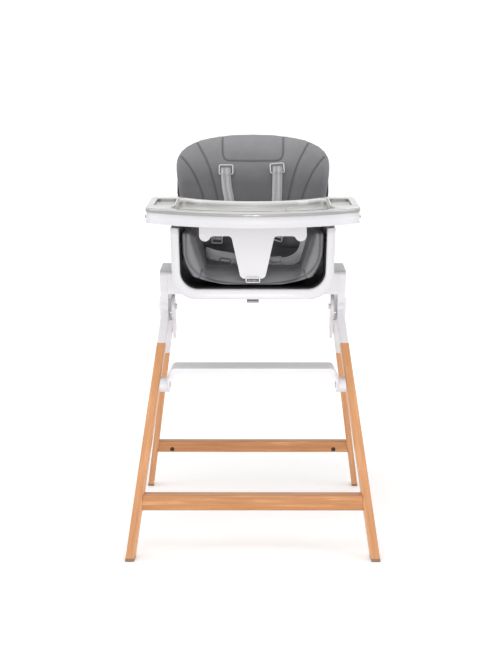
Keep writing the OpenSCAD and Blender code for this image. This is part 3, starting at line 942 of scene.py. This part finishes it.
# %% Tray base
BASE_Z, WALL_TOP, DECK_TOP, DECK_T = 781.0, 811.0, 800.0, 3.0
base_loop = even_loop(flat_loops("tray_base", BASE_Z)[0], 260)
base = bmesh.new()
WALL = [(-2.6, DECK_TOP), (-2.6, WALL_TOP - 0.8), (-1.8, WALL_TOP), (-0.8, WALL_TOP), (0, WALL_TOP - 0.8),
        (0, BASE_Z + 4.2), (-0.3, BASE_Z + 2.4), (-1.1, BASE_Z + 1.0), (-2.4, BASE_Z + 0.1), (-3.6, BASE_Z),
        (-4.4, BASE_Z + 0.6), (-4.4, BASE_Z + 2.0), (-3.4, BASE_Z + 5), (-3.2, DECK_TOP - DECK_T)]
wall_rings = stack_faces(base, base_loop, WALL)
fill_between(base, wall_rings[0])
fill_between(base, wall_rings[-1])
bmesh.ops.recalc_face_normals(base, faces=base.faces)
base_mesh = finished(base, "tray_base")


def block(x, y, z, edge=0.8):
    """A closed box with rounded long edges, between two values on each axis, in millimetres."""
    shape = bmesh.new()
    corners = [shape.verts.new((a * MM, b * MM, c * MM)) for a in x for b in y for c in z]
    bmesh.ops.convex_hull(shape, input=corners)
    bmesh.ops.dissolve_limit(shape, angle_limit=0.01, verts=shape.verts, edges=shape.edges)
    if edge:
        bmesh.ops.bevel(
            shape, geom=list(shape.edges), offset=edge * MM, segments=2, affect="EDGES", profile=0.5)
    return finished(shape, "block")


def cut_out(mesh, cutter):
    """The mesh with another closed mesh cut away."""
    solid, tool = linked("solid", mesh), linked("tool", cutter)
    cut = solid.modifiers.new("cut", "BOOLEAN")
    cut.object = tool
    cut.solver = "EXACT"
    made = applied(solid)
    bpy.data.objects.remove(tool)
    return made


RIDGE_IN, RIDGE_OUT, RIDGE_TOP = 174.4, 184.6, 786.2
for s in (-1, 1):
    across_ridge = sorted((s * RIDGE_IN, s * RIDGE_OUT))
    base_mesh = cut_out(base_mesh, block(across_ridge, (40, 70), (770, RIDGE_TOP), 0))
tray_base = add_piece("tray_moulded", base_mesh, tray_plastic, "tray_plastic", "tray", "tray_base")
tray_base.data.set_sharp_from_angle(angle=math.radians(50))
for s in (-1, 1):
    for inner, tag in ((170.6, "inner"), (184.6, "outer")):
        rib = block(sorted((s * inner, s * (inner + 3.8))), (-189, 44), (775.5, 798))
        side = "left" if s < 0 else "right"
        add_piece(f"tray_rib_{tag}_{side}", rib, tray_plastic, "tray_plastic", "tray")
print("tray points", len(base_mesh.vertices))

# %% [markdown]
# ## The cup ring
# A low raised ring in the well steadies a cup. It is a moulded bead, so it is drawn as a
# half-round section turned about the ring's centre.

# %% Cup ring
CUP_AT, CUP_R, BEAD_W, BEAD_H = (125, -95), 48.5, 3.4, 2.6
arch = [(-BEAD_W / 2 * math.cos(a), BEAD_H * math.sin(a)) for a in np.linspace(0, math.pi, 9)]
bead = [(-BEAD_W / 2, -0.4), *arch, (BEAD_W / 2, -0.4)]
bead_rings = []
for turn in np.linspace(0, 2 * math.pi, 96, endpoint=False):
    cx, cy = math.cos(turn), math.sin(turn)
    bead_rings.append([(CUP_AT[0] + (CUP_R + r) * cx, CUP_AT[1] + (CUP_R + r) * cy, WELL_Z + z)
                       for r, z in bead])
bead_rings.append(bead_rings[0])
bead_mesh = outward(loft([np.array(r) * MM for r in bead_rings], caps=False))
paint_points(bead_mesh, "rim", np.full(len(bead_mesh.vertices), 0.35))
add_piece("cup_ring", bead_mesh, cover_plastic, "cover_plastic", "tray_cover")

# %% [markdown]
# ## The footrest's lip
# The footrest is a bent plate with a turned-down lip in front that follows the bend into
# the cheeks and fades out near the pivots. The plate is the CAD node with rounded edges,
# and the lip is a small section carried round the same bend.

# %% Footrest lip
LIP_FRONT, LIP_BACK = -149.6, -144.6
plate = smooth_line([(200.6, 388), (200.6, 396), (200.4, 403), (196.5, 411), (192.5, 419), (187, 424.2),
                     (179, 426.2), (160, 426.4), (120, 426.4), (60, 426.4), (0, 426.4)], 6)
plate = np.vstack([plate, (plate * mirror)[::-1][1:]])
run = np.gradient(plate, axis=0)
run = unit(run)
inward = np.stack([-run[:, 1], run[:, 0]], 1)
height = np.clip(np.minimum(np.arange(len(plate)), np.arange(len(plate))[::-1]) / 22, 0.12, 1) * 8.5
lip_rings = []
for point, way, tall in zip(plate, inward, height):
    lip_rings.append(rounded_section(point - way * 2, point + way * tall, LIP_FRONT, LIP_BACK, 1.0, 2) * MM)
add_piece("footrest_lip", outward(loft(lip_rings)), white_plastic, "white_plastic", "footrest")
print("footrest lip sections", len(lip_rings))

# %% [markdown]
# ## The back pad
# The pad is one crowned form with a sewn head panel and two long seams down each side,
# which narrow towards the hips like the panels of a car seat. Its front rolls back to the
# shell over the last few centimetres.

# %% Back pad
PAD_OUTLINE = [(0, 299), (60, 296), (110, 288), (141, 279), (166, 265), (183, 247), (190, 225), (189, 195),
               (184, 160), (179, 130), (166, 106), (146, 84), (138, 50), (137, -2)]
HEAD_PANEL = [(77, 297), (76.5, 262), (74, 243), (66, 234), (50, 232), (0, 231)]
INNER_SEAM = [(141, 281), (128, 256), (117, 234), (107, 208), (99.5, 182), (92, 150), (88, 125),
              (88, 90), (90, 40)]
OUTER_SEAM = [(181, 245), (166, 226), (152, 205), (141, 183), (132, 161), (126, 142), (123, 125),
              (121, 95), (118, 40)]
PAD_FRONT, PAD_REAR = -27.0, -2.0
ROLL = 13.0
PAD_HALF, PAD_FOOT, PAD_HEAD = 194.0, -4.0, 305.0
GROOVE, GROOVE_W, VALLEY, VALLEY_W = 2.6, 2.4, 3.0, 15.0


def pad_depth(inside):
    """How far the pad stands out of its base, by the distance inside the outline."""
    share = np.clip(inside / ROLL, 0, 1)
    return 0.55 + 0.45 * np.sqrt(1 - (1 - share) ** 2)


half_outline = smooth_line(PAD_OUTLINE)
outline = np.vstack([half_outline, (half_outline * mirror)[::-1][1:-1]])
inset = outline * 0.99
base = outward(loft([on_back(np.insert(inset, 1, depth, axis=1)) for depth in (PAD_FRONT, PAD_REAR)]))
pad_mesh = even_mesh(base)


def to_back(co):
    """Chair coordinates in metres, to x, y, s in millimetres."""
    y, z = co[:, 1] / MM - HINGE_Y, co[:, 2] / MM - HINGE_Z
    return np.stack([
        co[:, 0] / MM,
        y * math.cos(LEAN) - z * math.sin(LEAN),
        y * math.sin(LEAN) + z * math.cos(LEAN),
    ], 1)


flat = to_back(coordinates(pad_mesh))
inside = distance_to(flat[:, [0, 2]], np.vstack([outline, outline[:1]]))
flat[:, 1] = PAD_REAR + (flat[:, 1] - PAD_REAR) * pad_depth(inside)
set_coordinates(pad_mesh, on_back(flat))
inflate(pad_mesh, 5 * MM)
pad_mesh = subdivided(pad_mesh)
relax(pad_mesh, 2)

flat = to_back(coordinates(pad_mesh))
flat[:, 0] *= PAD_HALF / np.abs(flat[:, 0]).max()
flat[:, 2] = PAD_FOOT + (flat[:, 2] - flat[:, 2].min()) * (PAD_HEAD - PAD_FOOT) / np.ptp(flat[:, 2])
seams = [smooth_line(INNER_SEAM), smooth_line(OUTER_SEAM), smooth_line(HEAD_PANEL)]
seams += [line * mirror for line in seams]
near = np.min([distance_to(flat[:, [0, 2]], line) for line in seams], axis=0)
front = np.clip((PAD_REAR - flat[:, 1] - 6) / 8, 0, 1)
flat[:, 1] += front * (GROOVE * bell(near, GROOVE_W) + VALLEY * bell(near, VALLEY_W))
flat[:, 1] = np.clip(flat[:, 1], -33, -0.6)
set_coordinates(pad_mesh, on_back(flat))
# `seam` is painted shade in the seam folds, and `lift` paints the upper back lighter, as painted light.
paint_points(pad_mesh, "seam", front * bell(near, 1.9))
paint_points(pad_mesh, "lift", np.clip((flat[:, 2] - 170) / 120, 0, 1))
back_pad = add_piece("back_cushion", pad_mesh, pad_leather, "pad_leather", "backrest", "back_pad")
print("back cushion points", len(pad_mesh.vertices))

# %% [markdown]
# ## The seat pad
# A roll in front holds the child in, the hollow behind it is where the child sits, and a
# wing rises on each side to meet the armrests. One closed shape, puffed the same way.

# %% Seat pad
seat_mesh = even_mesh(frame["nodes"]["seat_pad"].data.copy())
relax(seat_mesh, 6)
inflate(seat_mesh, 5 * MM)
seat_mesh = subdivided(seat_mesh)
relax(seat_mesh, 2)

co = coordinates(seat_mesh) / MM
front_view = co[:, [0, 2]]
CORNER_SEAM = [(116, 676), (122, 661), (130, 646), (136, 634)]
EDGE_SEAM = [(0, 644), (40, 646), (80, 651), (106, 658), (126, 667), (140, 680), (150, 697),
             (155, 717), (155, 768)]
ROLL_FOOT, ROLL_RISE, ROLL_RISE_MAX = 638.4, 16, 24
seat_seams = [smooth_line(CORNER_SEAM), smooth_line(EDGE_SEAM)]
seat_seams += [line * mirror for line in seat_seams]
near = np.min([distance_to(front_view, line) for line in seat_seams], axis=0)
facing = np.clip((-165 - co[:, 1]) / 10, 0, 1)
normal = np.empty(len(co) * 3)
seat_mesh.vertices.foreach_get("normal", normal)
sink = facing * (1.8 * bell(near, 2.2) + 1.5 * bell(near, 9))
co -= normal.reshape(-1, 3) * sink[:, None]
# The underside of the roll is level in the middle and rises towards its ends.
curve = ROLL_RISE * (np.abs(co[:, 0]) / 120) ** 2.2 * np.clip((-110 - co[:, 1]) / 40, 0, 1)
co[:, 2] = np.maximum(co[:, 2], ROLL_FOOT + np.minimum(curve, ROLL_RISE_MAX))
set_coordinates(seat_mesh, co * MM)
# `seam` is painted shade in the seam folds, and `lift` paints the front of the roll lighter, as painted
# light.
paint_points(seat_mesh, "seam", facing * bell(near, 1.7))
paint_points(seat_mesh, "lift", np.clip((-150 - co[:, 1]) / 60, 0, 0.35))
seat_pad = add_piece("seat_cushion", seat_mesh, pad_leather, "pad_leather", "seat", "seat_pad")
print("seat cushion points", len(seat_mesh.vertices))

# %% [markdown]
# ## The join between seat and back
# The real cushion is one sewn piece that folds where the back reclines. Two rigid pads
# would open a gap there, so a padded strip joins them. It is tied to neither body, so it
# stays where it is when the back goes down.

# %% Join
JOIN_HALF = 128
join_line = smooth_line([(6, 651), (28, 651.5), (44, 654), (56, 661), (64, 672), (70, 688), (77, 704)], 5)
join_run = np.gradient(join_line, axis=0)
join_run = unit(join_run)
join_up = np.stack([-join_run[:, 1], join_run[:, 0]], 1)
join_rings = []
for (y, z), (uy, uz) in zip(join_line, join_up):
    ring = []
    for layer in (1, -1):
        for share in np.linspace(-1, 1, 41)[:: layer]:
            crown = 4.5 * layer * (1 - share**8) + (0.9 * math.cos(share * 14) if layer > 0 else 0)
            ring.append((share * JOIN_HALF, y + uy * crown, z + uz * crown))
    join_rings.append(np.array(ring) * MM)
join_mesh = outward(loft(join_rings))
paint_points(join_mesh, "seam", np.zeros(len(join_mesh.vertices)))
paint_points(join_mesh, "lift", np.zeros(len(join_mesh.vertices)))
join = add_piece("cushion_join", join_mesh, pad_leather, "pad_leather", None)
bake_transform(join)
print("join rings", len(join_rings))

# %% [markdown]
# ## The back cover
# A dark cloth cover is stretched over the back of the shell. It is a thin skin with soft
# upright folds at its sides. No cloth is simulated: it is a sheet with a wave in it that
# grows towards the edges, given a little thickness.

# %% Back cover cloth


def cover_half_width(s):
    return np.interp(s, [0, 60, 100, 125, 160, 220, 245, 265, 280, 292, 298],
                     [130, 134, 160, 188, 192, 192, 184, 166, 140, 80, 20])


COVER_COLUMNS, COVER_ROWS = 96, 80
grid = []
for s in np.linspace(6, 294, COVER_ROWS):
    across = np.linspace(-1, 1, COVER_COLUMNS)
    fold = np.sin(across * 21 + np.sin(s / 34) * 1.2) * np.abs(across) ** 6 * 2.4
    ripple = np.sin(s / 19 + across * 3) * (1 - across**4) * 0.8
    bulge = 5.4 * (1 - across**4) * np.clip((298 - s) / 60, 0, 1) ** 0.5
    depth = np.maximum(5.6 + bulge + fold + ripple, 4.6)
    depth = np.where(np.abs(across) > 0.97, depth - 2.0, depth)
    grid.append(np.stack([across * cover_half_width(s), np.maximum(depth, 4.5), np.full_like(across, s)], 1))
cloth_mesh = loft([on_back(row) for row in grid], closed_ring=False, caps=False)
back_cover = add_piece(
    "back_cloth_cover", outward(cloth_mesh), back_fabric, "back_fabric", "backrest", "back_cover")
skin = back_cover.modifiers.new("cloth_thickness", "SOLIDIFY")
skin.thickness = 1.2 * MM
skin.offset = 0
print("back cover rows", COVER_ROWS)

# %% [markdown]
# ## Harness webbing
# Each strap is a ribbon 25 mm wide and under 2 mm thick. It is drawn along a line, with the
# direction across it given at each point, so it can fold, twist and climb over a pad.

# %% Ribbon maker
STRAP_W, STRAP_T = 25.0, 1.8


def ribbon(name, line, sides, body, nodes=(), finish=webbing):
    """A strap along a line, whose width points the way that `sides` says at each point."""
    centre = smooth_line(line)
    side = smooth_line(sides)
    side = unit(side)
    run = np.gradient(centre, axis=0)
    run = unit(run)
    side -= run * np.sum(run * side, axis=1, keepdims=True)
    side = unit(side)
    up = np.cross(side, run)
    travelled = travel(centre)
    share = np.linspace(0, 1, 9)
    bulge = STRAP_T / 2 * (1 - (2 * share - 1) ** 6 * 0.7)
    ring_share = np.concatenate([share, share[::-1]])
    ring_up = np.concatenate([bulge, -bulge[::-1]])
    rings = [
        (c + np.outer((ring_share - 0.5) * STRAP_W, d) + np.outer(ring_up, u)) * MM
        for c, d, u in zip(centre, side, up)
    ]
    mesh = outward(loft(rings))
    paint_points(mesh, "across", np.tile(ring_share, len(rings)))
    paint_points(mesh, "along", np.repeat(travelled * MM, len(ring_share)))
    return add_piece(name, mesh, finish, "webbing", body, *nodes)


# Each strap comes out of the pad, dips through its ring, lies down the pad and ends in a slider.
shoulder_lines = {
    "left": (
        [(-68, -18, 214), (-68, -31, 213), (-68, -37, 209), (-68, -43, 197), (-67.5, -40, 186),
         (-65, -36, 160), (-59, -35.5, 125), (-60, -37, 100), (-68, -42, 76)],
        [(-80, 50, 740), (-87, 24, 730), (-88, 14, 716)]),
    "right": (
        [(62, -18, 218), (62, -31, 217), (62, -37, 213), (62, -43, 201), (61.5, -40, 190),
         (61, -36, 160), (60, -35.5, 125), (59, -37, 100), (59, -42, 76)],
        [(60, 50, 742), (60, 24, 734), (60, 14, 724)]),
}
for tag, (lying, hanging) in shoulder_lines.items():
    line = np.vstack([on_back(lying) / MM, hanging])
    ribbon("shoulder_webbing_" + tag, line, [(1, 0, 0)] * len(line), "backrest", ("shoulder_strap_" + tag,))
print("shoulder webbing done")

# %% Seat webbing
# The left strap is folded on itself and stands on edge; the right one lies back along the roll.
left_lap = [(-24, -68, 679), (-38, -71, 681), (-53, -69, 685), (-78, -63, 688),
            (-100, -55, 691.5), (-110, -45, 694)]
left_sides = [(0, 0.55, 0.8), (0, 0.45, 0.88), (0.05, 0.35, 0.94), (0.1, 0.3, 0.95),
              (0.1, 0.3, 0.95), (0, 0.3, 0.95)]
ribbon("lap_webbing_left", left_lap, left_sides, "seat", ("lap_strap_left",), finish=lap_webbing)
fold = [(-110, -45, 694), (-113, -38, 694), (-110, -33, 692), (-98, -36, 688), (-80, -44, 684)]
ribbon("lap_webbing_left_fold", fold, [(0, 0.3, 0.95)] * 5, "seat", finish=lap_webbing)
right_lap = [(24, -66, 676), (45, -70, 675), (66, -74, 675), (88, -74, 678), (108, -68, 688), (120, -62, 703),
             (125, -54, 722), (124, -46, 738)]
right_sides = [(0, 0.7, 0.7), (0, 0.66, 0.75), (-0.05, 0.62, 0.78), (-0.15, 0.6, 0.78), (-0.4, 0.55, 0.7),
               (-0.7, 0.5, 0.4), (-0.85, 0.5, 0.1), (-0.85, 0.5, 0)]
ribbon("lap_webbing_right", right_lap, right_sides, "seat", ("lap_strap_right",), finish=lap_webbing)
crotch = [(0, -203, 652), (0, -190, 657), (0, -165, 670), (0, -140, 675.2), (0, -112, 675.4),
          (0, -95, 676), (0, -80, 679)]
ribbon("crotch_webbing", crotch, [(1, 0, 0)] * len(crotch), "seat", ("crotch_strap",))
print("seat webbing done")

# %% [markdown]
# ## Sliders and loops
# Small moulded frames let each strap be shortened: a flat frame with a bar across it. Each
# is a rounded section carried round a rounded rectangle, placed by the way its width and
# its height point, because none of them lies square to the chair.

# %% Slider maker


GAUGE, CORNER = 3.2, 3.0
WHITE = (white_plastic, "white_plastic")


def slider(name, at, wide, tall, size, body, nodes=(), finish=WHITE, bar=True):
    """A rectangular frame centred at a point, size (w, h) along two directions."""
    wide, tall = Vector(wide).normalized(), Vector(tall)
    tall = (tall - wide * tall.dot(wide)).normalized()
    out = wide.cross(tall)
    half_w, half_h = size[0] / 2, size[1] / 2
    path = []
    for cx, cy, start in ((1, 1, 0), (-1, 1, 90), (-1, -1, 180), (1, -1, 270)):
        for a in np.radians(np.linspace(start, start + 90, 5)):
            path.append((cx * (half_w - CORNER) + CORNER * math.cos(a),
                         cy * (half_h - CORNER) + CORNER * math.sin(a)))
    path = np.array(path)
    runs = [(path, True)]
    if bar:
        runs.append((np.array([(-half_w + 0.5, 0), (0, 0), (half_w - 0.5, 0)]), False))
    shape = bmesh.new()
    for line, closed in runs:
        run = np.roll(line, -1, axis=0) - np.roll(line, 1, axis=0) if closed else np.gradient(line, axis=0)
        run = unit(run)
        rings = []
        for (px, py), (rx, ry) in zip(line, run):
            ring = []
            for a in np.linspace(0, 2 * math.pi, 10, endpoint=False):
                n, u = GAUGE / 2 * math.cos(a), GAUGE * 0.42 * math.sin(a)
                point = Vector(at) + wide * (px + n * ry) + tall * (py - n * rx) + out * u
                ring.append(shape.verts.new(point * MM))
            rings.append(ring)
        pairs = list(zip(rings, rings[1:])) + ([(rings[-1], rings[0])] if closed else [])
        for a, b in pairs:
            for i in range(len(a)):
                shape.faces.new((a[i], a[(i + 1) % len(a)], b[(i + 1) % len(a)], b[i]))
        if not closed:
            shape.faces.new(rings[0][::-1])
            shape.faces.new(rings[-1])
    bmesh.ops.recalc_face_normals(shape, faces=shape.faces)
    return add_piece(name, finished(shape, name), *finish, body, *nodes)


slider("lap_slider_frame_left", (-67, -75, 675), (1, 0.1, -0.12), (0, 0.35, 0.93), (25, 18),
       "seat", ("lap_slider_left",), (grey_plastic, "grey_plastic"))
slider("lap_loop_left", (-41, -77, 674), (1, 0.1, 0.05), (0, 0.35, 0.93), (20, 18), "seat")
slider("lap_slider_frame_right", (57, -78, 677), (1, -0.1, 0.1), (0, 0.3, 0.95), (23, 22),
       "seat", ("lap_slider_right",))
slider("lap_loop_right", (37, -76, 677), (1, 0, 0.05), (0, 0.3, 0.95), (16, 21), "seat")
slider("crotch_loop", (0, -209, 655), (1, 0, 0), (0, -0.6, 0.8), (31, 15),
       "seat", ("crotch_ring",), bar=False)
slider("shoulder_slider_left", (-88, 12, 719), (1, 0, -0.06), (0, 0.3, 0.95), (25, 21), "backrest")
slider("shoulder_slider_right", (60, 12, 724), (1, 0, -0.3), (0, 0.5, 0.85), (25, 20), "backrest")
for tag, x, s, turn in (("left", -67.5, 206, 0.0), ("right", 61, 210, 0.08)):
    at, beside, above = on_back([(x, -39.5, s), (x + 10, -39.5, s + 10 * turn), (x, -39.5, s + 10)]) / MM
    slider("shoulder_loop_" + tag, at, beside - at, above - at, (34, 24),
           "backrest", ("shoulder_ring_" + tag,), bar=False)
print("sliders done")

# %% [markdown]
# ## The floor
# A wide pale sheet under the feet catches the soft contact shadows that stand the chair on
# something. It isn't part of the chair.

# %% Floor
bpy.ops.mesh.primitive_plane_add(size=40, location=(0, 0, 0))
floor = bpy.context.object
floor.name = "floor"
floor_finish = Finish("floor_paper")
span = floor_finish.node(
    "ShaderNodeVectorMath", {"operation": "LENGTH"}, {0: floor_finish.place()}).outputs["Value"]
# The floor glows, more far from the chair than near it: painted light that keeps the far floor white and
# leaves the contact shadows.
far_share = floor_finish.node("ShaderNodeMapRange", {}, {0: span, 1: 0.5, 2: 1.6, 3: 0.0, 4: 1.0}).outputs[0]
floor_glow = floor_finish.blend(far_share, (0.16, 0.16, 0.16, 1), (0.42, 0.42, 0.42, 1))
floor_finish.feed(
    Base_Color=floor_finish.blend(floor_finish.noise(300), (0.93, 0.93, 0.93, 1), (0.96, 0.96, 0.96, 1)),
    Roughness=floor_finish.noise(40) * 0.05 + 0.85,
    Emission_Color=floor_glow,
)
floor_finish.shader.inputs["Emission Strength"].default_value = 1.0
floor.data.materials.append(floor_finish.material)
